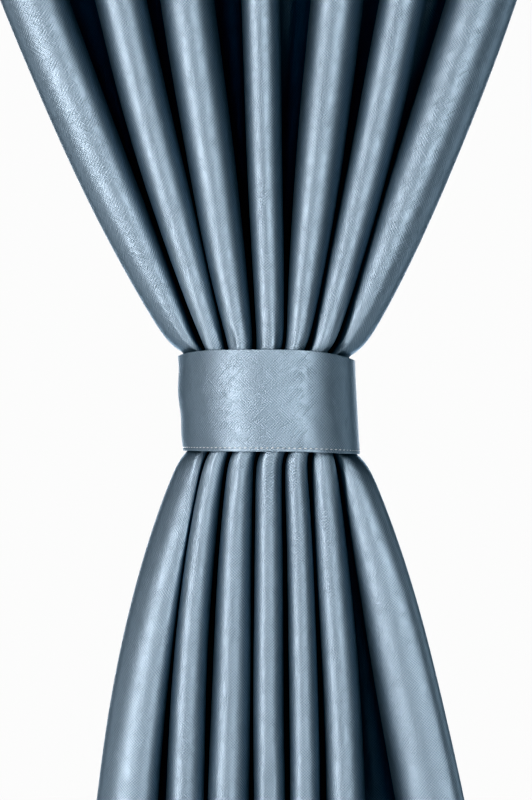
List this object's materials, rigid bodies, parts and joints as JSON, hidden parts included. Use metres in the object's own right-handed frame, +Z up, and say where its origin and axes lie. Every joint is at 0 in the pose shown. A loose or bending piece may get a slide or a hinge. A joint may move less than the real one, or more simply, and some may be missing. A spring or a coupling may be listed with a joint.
{
  "type": "blackout curtain",
  "caption": "Long satin blackout curtain panel hanging in deep folds, gathered at its waist by a stitched cloth tie band.",
  "frame": {"origin": "middle of the hanging top edge, above the middle fold and halfway through the folds' depth", "axes": "+Z up along the hanging cloth, +X to the right seen from the room, -Y towards the room"},
  "size_m": [1.0127, 0.1663, 2.4994],
  "materials": {
    "cloth": "slate blue satin blackout cloth, soft sheen",
    "band_cloth": "same satin cloth, doubled and edge-stitched"
  },
  "bodies": {
    "root": {"panel": "cloth", "tie_band": "band_cloth"}
  },
  "joints": []
}
